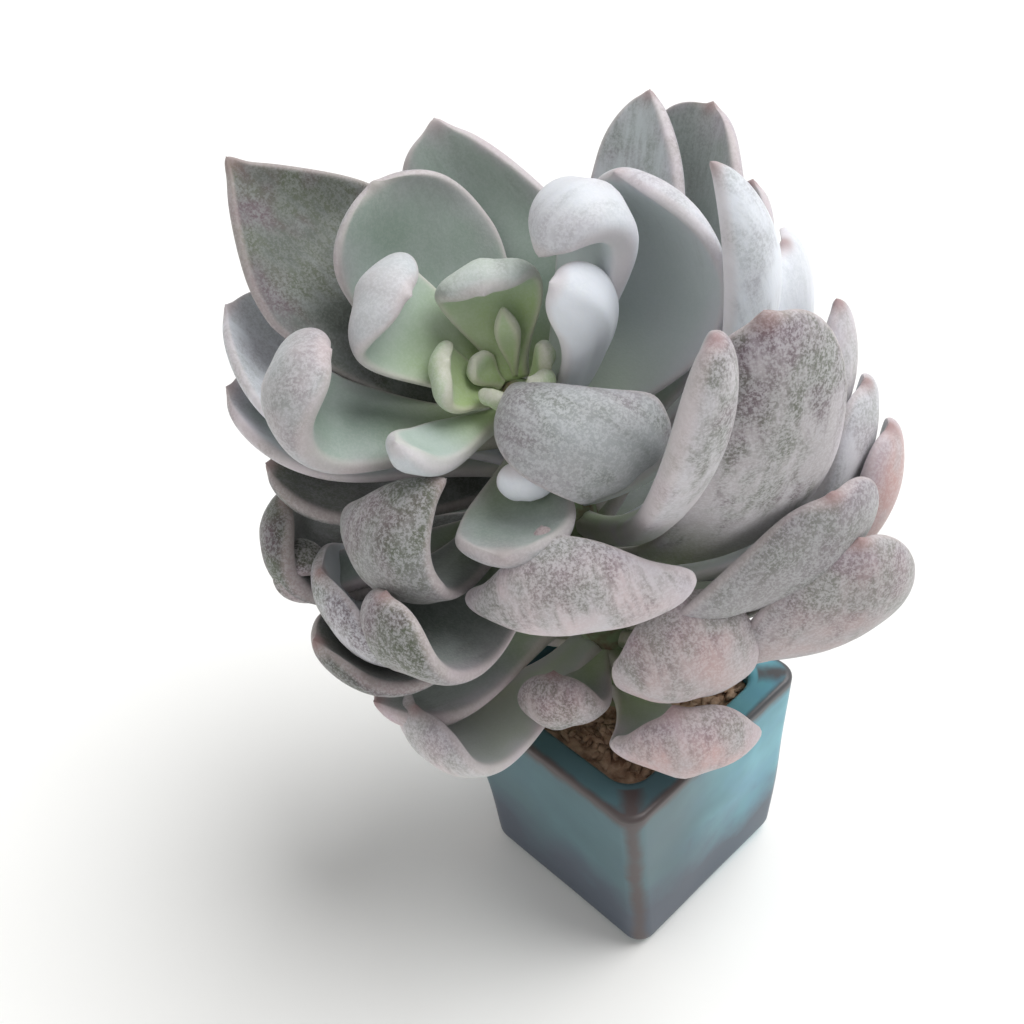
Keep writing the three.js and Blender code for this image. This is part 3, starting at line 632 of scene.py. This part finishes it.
def leaf_midline(leaf):
    """A leaf's midline and its frame. The heading climbs from square to the stem by rise, arch and hook, and
    the points add up its small steps. Across lies square to the heading round the stem, inward square to
    both, and roll turns the two about the heading."""
    t = np.linspace(0, 1, MIDLINE_STEPS + 1)
    along = stem_along(leaf["at"])[0]
    front = np.array([0, -1.0, 0]) + along * along[1]
    front /= np.linalg.norm(front)
    side = np.cross(along, front)
    hook = leaf["hook"] * smooth((t - leaf["start"]) / (1 - leaf["start"]))
    climb = np.radians(leaf["rise"] + leaf["arch"] * t ** leaf["early"] + hook)[:, None]
    turn = np.radians(leaf["turn"] + leaf["sway"] * t * t)[:, None]
    heading = (np.cos(turn) * front + np.sin(turn) * side) * np.cos(climb) + along * np.sin(climb)
    start = np.cos(turn[0]) * front + np.sin(turn[0]) * side
    root = stem_point(leaf["at"])[0] + start * LEAF_ROOT_DEPTH * stem_radius(leaf["at"])
    steps = heading * leaf["long"] * MM / MIDLINE_STEPS
    steps[0] = 0
    flat = np.cos(turn) * side - np.sin(turn) * front
    inward = np.cross(flat, heading)
    inward *= np.sign((inward[0] @ along) * np.cos(climb[0, 0]) + 1e-9)
    cos, sin = np.cos(np.radians(leaf["roll"])), np.sin(np.radians(leaf["roll"]))
    return root + np.cumsum(steps, 0), heading, flat * cos + inward * sin, inward * cos - flat * sin


def leaf_surface(leaf, line, seed):
    """One leaf's grid of t along its midline and u round its section, its tip and its widths. A section's
    points lie x = cos u of its half width across and flank = sin u towards the face. The width grows from
    the foot's share at the root to full at two thirds and closes along a superellipse, the thickness swells
    towards the end, and the flat section is wrapped round an arc that cups it inwards. A keel and fine
    grooves along the back, slow seeded dents, a waved and ragged rim, a shoulder, a lean to one side and a
    short hard point are added."""
    fine = np.linspace(0, 1, MIDLINE_STEPS + 1)
    point, heading, across, inward = [
        np.stack([np.interp(leaf_steps, fine, part[:, k]) for k in range(3)], -1)[:, None] for part in line
    ]
    t = leaf_steps[:, None]
    x = np.cos(leaf_turns)
    flank = np.sin(leaf_turns)
    phase = np.random.default_rng(seed).uniform(0, 2 * np.pi, 6)

    end = np.clip((t - LEAF_WIDEST_AT) / (1 - LEAF_WIDEST_AT), 0, 1)
    grow = leaf["foot"] + (1 - leaf["foot"]) * smooth(t / LEAF_WIDEST_AT)
    wide = leaf["wide"] * MM * grow * (1 - end ** leaf["blunt"]) ** (1 / leaf["blunt"])
    swell = 0.75 - 0.1 * smooth(t / 0.4) + 0.35 * smooth((t - 0.35) / 0.45)
    thick = leaf["thick"] * MM * swell * (1 - end ** 3) ** (1 / 2.4)
    share = np.where(flank > 0, 1 - LEAF_BACK_SHARE, LEAF_BACK_SHARE)
    off = share * thick * np.sign(flank) * np.abs(flank) ** 0.75

    ridge = np.exp(-(x / KEEL_SPREAD) ** 2) * (flank < 0) * smooth((t - 0.25) / 0.4) * (1 - end ** 3)
    groove = np.sin(8 * x + 1.5 * t + phase[5]) * np.clip(-flank, 0, 1) * np.sin(np.pi * t)
    off = off - leaf["keel"] * MM * ridge + GROOVE_DEPTH * groove
    dents = 0.02 * np.sin(5 * t + 2 * x + phase[0]) + 0.014 * np.sin(9 * t - 3 * x + phase[1])
    bulge = dents * leaf["wide"] * MM * np.sin(np.pi * np.clip(t, 0, 1)) ** 0.7
    ripple = leaf["wave"] * MM * np.abs(x) ** 3 * np.sin(11 * t + phase[2] + 2 * x) * (1 - end ** 4)
    ragged = 1 + 0.03 * np.sin(8 * t + 1.5 * x + phase[3])
    ragged = ragged + 0.035 * leaf["wave"] * x * x * np.sin(21 * t + phase[4])
    beside = np.clip(np.sign(leaf["nib"]) * x, 0, 1) ** 3
    shoulder = np.abs(leaf["nib"]) * beside * np.exp(-((t - SHOULDER_AT) / SHOULDER_SPREAD) ** 2)
    lean = leaf["skew"] * leaf["wide"] * MM * smooth((t - 0.45) / 0.55)

    cup = LEAF_CUP * (0.6 + 0.8 * smooth((t - 0.4) / 0.6))
    curve = 2 * cup / np.maximum(wide, 1e-6)
    arc = curve * 0.5 * wide * x * (ragged + shoulder)
    along_flat = lean + np.sin(arc) * (1 / curve - off)
    towards_stem = (1 - np.cos(arc)) / curve + np.cos(arc) * off + ripple + bulge
    grid = point + across * along_flat[..., None] + inward * towards_stem[..., None]
    tip = line[0][-1] + line[2][-1] * leaf["skew"] * leaf["wide"] * MM
    near = np.exp(-(np.linalg.norm(grid - tip, axis=-1) / (BEAK_ROUND + leaf["beak"] * MM)) ** 2)
    return grid + heading * near[..., None] * leaf["beak"] * MM, tip, wide


def leaf_mesh(name, row, seed, age=None):
    """One leaf with the values that its skin reads. face is 1 on the inside and 0 on the back, rim and band
    fall away from the edge, along runs from root to end, green fades from the root, point is a bell round
    the tip, and age grows from 0 at the stem's growing tip to 1 half way down the stem."""
    leaf = {**LEAF_RULE, **row}
    line = leaf_midline(leaf)
    grid, tip, wide = leaf_surface(leaf, line, seed)
    t = leaf_steps[:, None]
    x = np.cos(leaf_turns)
    face = smooth(0.5 + 1.6 * np.sin(leaf_turns))
    edge = np.minimum(0.5 * wide * (1 - np.abs(x)), (1 - t) * leaf["long"] * MM * 0.8)
    band = np.minimum(LILAC_BAND, 0.25 * leaf["wide"] * MM)
    years = smooth((1 - leaf["at"]) / 0.5) if age is None else age
    tinted = smooth((1 - leaf["at"]) / 0.25) if age is None else age
    full = np.ones_like(grid[..., 0])
    values = {
        "face": full * face,
        "rim": 1 - smooth(edge / PALE_RIM),
        "band": (1 - smooth(edge / band)) * tinted,
        "along": full * t,
        "green": full * (1 - smooth((t - 0.1 * leaf["green"]) / (0.4 * leaf["green"]))),
        "point": np.exp(-(np.linalg.norm(grid - tip, axis=-1) / RED_POINT) ** 2),
        "age": full * years,
        "marks": full * (leaf["mottle"] + (leaf["inner"] - leaf["mottle"]) * face),
        # The wax setting of each leaf, which also carries painted light and painted shade.
        "wax_and_painted_light": full * leaf["wax_and_painted_light"],
        "blush": full * leaf["blush"],
    }
    flat_map = np.stack([0.5 * wide * x + 0.4 * seed, full * t * leaf["long"] * MM + 0.3 * seed], -1)
    end = tip + line[1][-1] * (leaf["beak"] * MM + TIP_CLOSE)
    root_pole, tip_pole = into_part(np.array([line[0][0], end]))
    return closed_skin(name, into_part(grid), root_pole, tip_pole, values, flat_map)


def bloomed_leaf_skin():
    """Echeveria leaf: waxy skin under a powdery coat of wax. The wax scatters light like fine chalk, so the
    leaf is matt with a soft sheen, and the juicy flesh under it lets some light through. Plant tissue has an
    IOR near 1.4. The marks gather in patches drawn out along the leaf, more of them towards its end, and the
    wax powder lies in grains of about half a millimetre. Each leaf's wax setting also carries painted light
    and
    shade: it whitens leaves that stand in the light and darkens those that stand in shade."""
    material, tree, place = new_material("bloomed_leaf_skin")
    spread = add(tree, "ShaderNodeUVMap", uv_map="skin_map").outputs[0]
    drawn_out = add(tree, "ShaderNodeMapping", {"Vector": spread, "Scale": (1, 0.2, 1)}).outputs[0]
    face, rim, band, along, green, point, age, marks, wax_and_painted_light, blush = [
        attribute(tree, key)
        for key in ("face", "rim", "band", "along", "green", "point", "age", "marks", "wax_and_painted_light", "blush")
    ]
    streak = noise(tree, drawn_out, 2.8 * MM, detail=3.0, roughness=0.65)
    patch = noise(tree, place, 13 * MM)
    grain = noise(tree, place, 0.6 * MM, roughness=0.7)
    fleck = noise(tree, place, 1.5 * MM, detail=1.0)
    hue = noise(tree, place, 11 * MM, detail=1.0)

    # Sage on the face and mauve grey on the back, pinker in patches and green near the stem.
    inner = blend(tree, age, "9fb3a6", "8b9590")
    back = blend(tree, age, "c3ccd0", "b6b1b4")
    pink = calculate(tree, "MULTIPLY", ranged(tree, hue, 0.35, 0.65, 0.3, 1.0), blush)
    back = blend(tree, pink, back, "c8a29e")
    skin = blend(tree, face, back, inner)
    skin = blend(tree, calculate(tree, "MULTIPLY", green, 0.85), skin, "a2b872")

    # A lilac band inside the rim. Then each leaf's wax setting: above nought it whitens the leaf with thick
    # wax and painted light, below nought it darkens it with wear and painted shade.
    tinge = calculate(tree, "MULTIPLY", ranged(tree, hue, 0.4, 0.6, 0.2, 0.75), band)
    skin = blend(tree, tinge, skin, "b8adb8")
    skin = blend(tree, calculate(tree, "MAXIMUM", wax_and_painted_light, 0.0), skin, "e6ebf3")
    skin = blend(tree, calculate(tree, "MULTIPLY", wax_and_painted_light, -1.0, use_clamp=True), skin, "484b45")
    skin = blend(tree, ranged(tree, patch, 0.35, 0.7, 0.0, 0.25), skin, "ccd0d4")

    # Olive and purple marks: patches that thicken towards the end, broken into grains.
    tipward = ranged(tree, along, 0.45, 1.0, -0.12, 0.09)
    area = calculate(tree, "ADD", between(tree, 0.5, streak, patch), tipward)
    area = calculate(tree, "MULTIPLY_ADD", marks, 0.16, area)
    area = ranged(tree, area, 0.5, 0.71, interpolation_type="SMOOTHSTEP")
    strength = calculate(tree, "MULTIPLY", area, marks)
    dots = between(tree, 0.3, grain, fleck)
    grains = ranged(tree, dots, 0.4, 0.62, 0.5, 1.1)
    dark = calculate(tree, "MULTIPLY", strength, grains, use_clamp=True)
    mark = blend(tree, ranged(tree, hue, 0.45, 0.62), "585e4e", "5f4e55")
    skin = blend(tree, dark, skin, mark)

    # Loose powder between the grains, less of it on the face, a pale rim and a red brown point.
    powder = ranged(tree, dots, 0.54, 0.43, 0.0, 0.22)
    outer = ranged(tree, face, 0.0, 1.0, 1.0, 0.3)
    skin = blend(tree, calculate(tree, "MULTIPLY", powder, outer), skin, "e3e4e8")
    skin = blend(tree, calculate(tree, "MULTIPLY", rim, 0.4), skin, "d3c4c4")
    red = calculate(tree, "MULTIPLY", calculate(tree, "MULTIPLY", point, age), 0.75)
    skin = blend(tree, red, skin, "8a6462")

    surface(tree, grain, 0.4, 0.15 * MM, {
        "Base Color": skin, "Roughness": 0.6, "IOR": 1.4, "Sheen Weight": 0.2, "Sheen Roughness": 0.5,
        "Subsurface Weight": 0.12, "Subsurface Radius": (1.0, 1.1, 0.8), "Subsurface Scale": 2.0 * MM,
    })
    return material


leaf_skin = bloomed_leaf_skin()
whorls = {"inner": INNER_LEAVES, "upper": UPPER_LEAVES, "middle": MIDDLE_LEAVES, "lower": LOWER_LEAVES}
seed = 0
for whorl, leaves in whorls.items():
    for number, leaf in enumerate(leaves, 1):
        seed += 1
        node = f"{whorl}_leaf_{number}"
        blade = piece_of(leaf_mesh(f"{node}_blade", leaf, seed), leaf_skin)
        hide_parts(node)

# Heart. Six young leaves no longer than a fingertip, still pressed round the stem's growing tip, smooth
# and yellow green with hardly any bloom yet.
HEART_LEAVES = [
    dict(at=.998, turn=165, rise=58, long=15, wide=5.5, arch=10, hook=-15, thick=3.5, blunt=1.6),
    dict(at=.995, turn=235, rise=45, long=9, wide=8, arch=20, hook=20, thick=3.5),
    dict(at=.995, turn=325, rise=50, long=9, wide=8, arch=20, hook=30, thick=3.5),
    dict(at=.99, turn=92, rise=45, long=13, wide=7, arch=30, hook=10, thick=4, blunt=1.8),
    dict(at=.985, turn=40, rise=32, long=12, wide=11, arch=50, hook=40, thick=4),
    dict(at=.97, turn=262, rise=37, long=21, wide=17, arch=20, hook=80, thick=5),
]
for number, leaf in enumerate(HEART_LEAVES, 1):
    row = {**leaf, "mottle": 0, "inner": 0, "blush": 0, "keel": 0.2, "green": 4}
    piece_of(leaf_mesh(f"heart_leaf_{number}", row, 80 + number, age=0), leaf_skin)

# Studio. A white sweep of paper to stand on, one large soft light from above, the right and behind, a
# weaker one from the left, and an even white sky.
FLOOR_HALF = 3.0
SKY_STRENGTH = 0.38


def pale_paper():
    """Matt white paper with a barely visible tooth."""
    material, tree, place = new_material("pale_paper")
    tooth = noise(tree, place, 2.5 * MM)
    surface(tree, tooth, 0.05, 0.2 * MM, {"Base Color": linear("f4f4f2"), "Roughness": 0.9})
    return material


floor_mesh = bpy.data.meshes.new("floor")
corners = [(-FLOOR_HALF, -FLOOR_HALF, 0), (FLOOR_HALF, -FLOOR_HALF, 0), (FLOOR_HALF, FLOOR_HALF, 0),
           (-FLOOR_HALF, FLOOR_HALF, 0)]
floor_mesh.from_pydata(corners, [], [(0, 1, 2, 3)])
floor_mesh.materials.append(pale_paper())
floor = bpy.data.objects.new("floor", floor_mesh)
bpy.context.scene.collection.objects.link(floor)

sky = bpy.data.worlds.new("sky")
sky.use_nodes = True
sky.node_tree.nodes["Background"].inputs[0].default_value = (1, 1, 1, 1)
sky.node_tree.nodes["Background"].inputs[1].default_value = SKY_STRENGTH
bpy.context.scene.world = sky
bpy.context.scene.view_settings.view_transform = "Standard"

for name, away, strength, spread, tint in [
    ("key", (0.52, 0.12, 0.88), 3.06, 50, (1.0, 1.0, 1.0)),
    ("fill", (-0.7, -0.55, 0.6), 0.32, 60, (1.0, 0.97, 0.94)),
]:
    lamp = bpy.data.lights.new(name, "SUN")
    lamp.energy = strength
    lamp.angle = np.radians(spread)
    lamp.color = tint
    holder = bpy.data.objects.new(name, lamp)
    away = into_part(np.array(away)) - into_part(np.zeros(3))
    holder.rotation_euler = Vector(-away).to_track_quat("-Z", "Y").to_euler()
    bpy.context.scene.collection.objects.link(holder)
